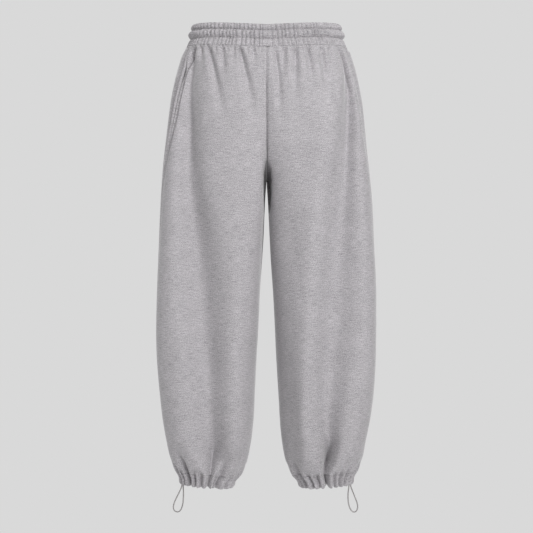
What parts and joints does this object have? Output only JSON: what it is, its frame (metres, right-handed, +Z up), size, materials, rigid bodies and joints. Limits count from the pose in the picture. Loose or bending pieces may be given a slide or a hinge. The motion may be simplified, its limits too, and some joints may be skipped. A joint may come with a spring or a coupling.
{
  "type": "jogger sweatpants",
  "caption": "Loose balloon-leg fleece jogger sweatpants, filled out as worn, with a gathered elastic waistband and gathered hems that each have a hanging cord loop.",
  "frame": {"origin": "centre of the waist opening, level with its top edge at the hips", "axes": "+Z up, the pictured side faces -Y, +X to the wearer's left"},
  "size_m": [0.4706, 0.29, 1.0433],
  "materials": {
    "fleece": "heather grey fleece",
    "cord": "braided elastic cord"
  },
  "bodies": {
    "root": {"waistband": "fleece", "front_panel_right": "fleece", "front_panel_left": "fleece", "back_panel_right": "fleece", "back_panel_left": "fleece", "hem_casing_right": "fleece", "hem_casing_left": "fleece", "hem_cord_right": "cord", "hem_cord_left": "cord"}
  },
  "joints": []
}
